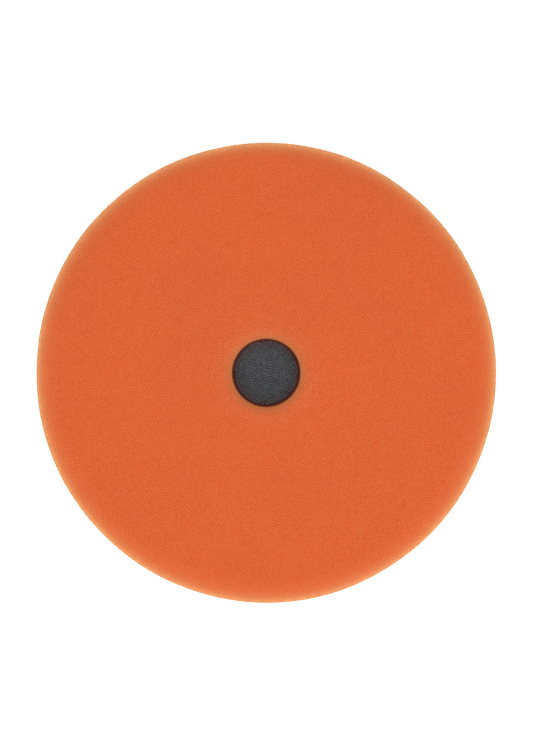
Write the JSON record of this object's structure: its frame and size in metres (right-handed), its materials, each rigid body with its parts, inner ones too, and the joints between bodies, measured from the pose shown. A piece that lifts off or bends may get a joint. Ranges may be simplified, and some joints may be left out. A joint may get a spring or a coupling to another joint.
{
  "type": "foam polishing pad",
  "caption": "Round laminated foam polishing pad with a rounded face edge, a blind centre hole, a dark interface layer and a hook-and-loop back.",
  "frame": {"origin": "centre of the loop side, where the tips of the loops meet the backing plate", "axes": "+Z along the pad's axis, out of the working face; the pad is round, so X and Y are any two directions across it"},
  "size_m": [0.15, 0.15, 0.0256],
  "materials": {
    "face_foam": "matte",
    "interface_foam": "matte",
    "bond_film": "satin",
    "backing_cloth": "matte",
    "loop_pile": "satin"
  },
  "bodies": {
    "root": {"face_foam": "face_foam", "front_bond": "bond_film", "interface_foam": "interface_foam", "rear_bond": "bond_film", "backing_cloth": "backing_cloth", "loop_pile": "loop_pile"}
  },
  "joints": []
}
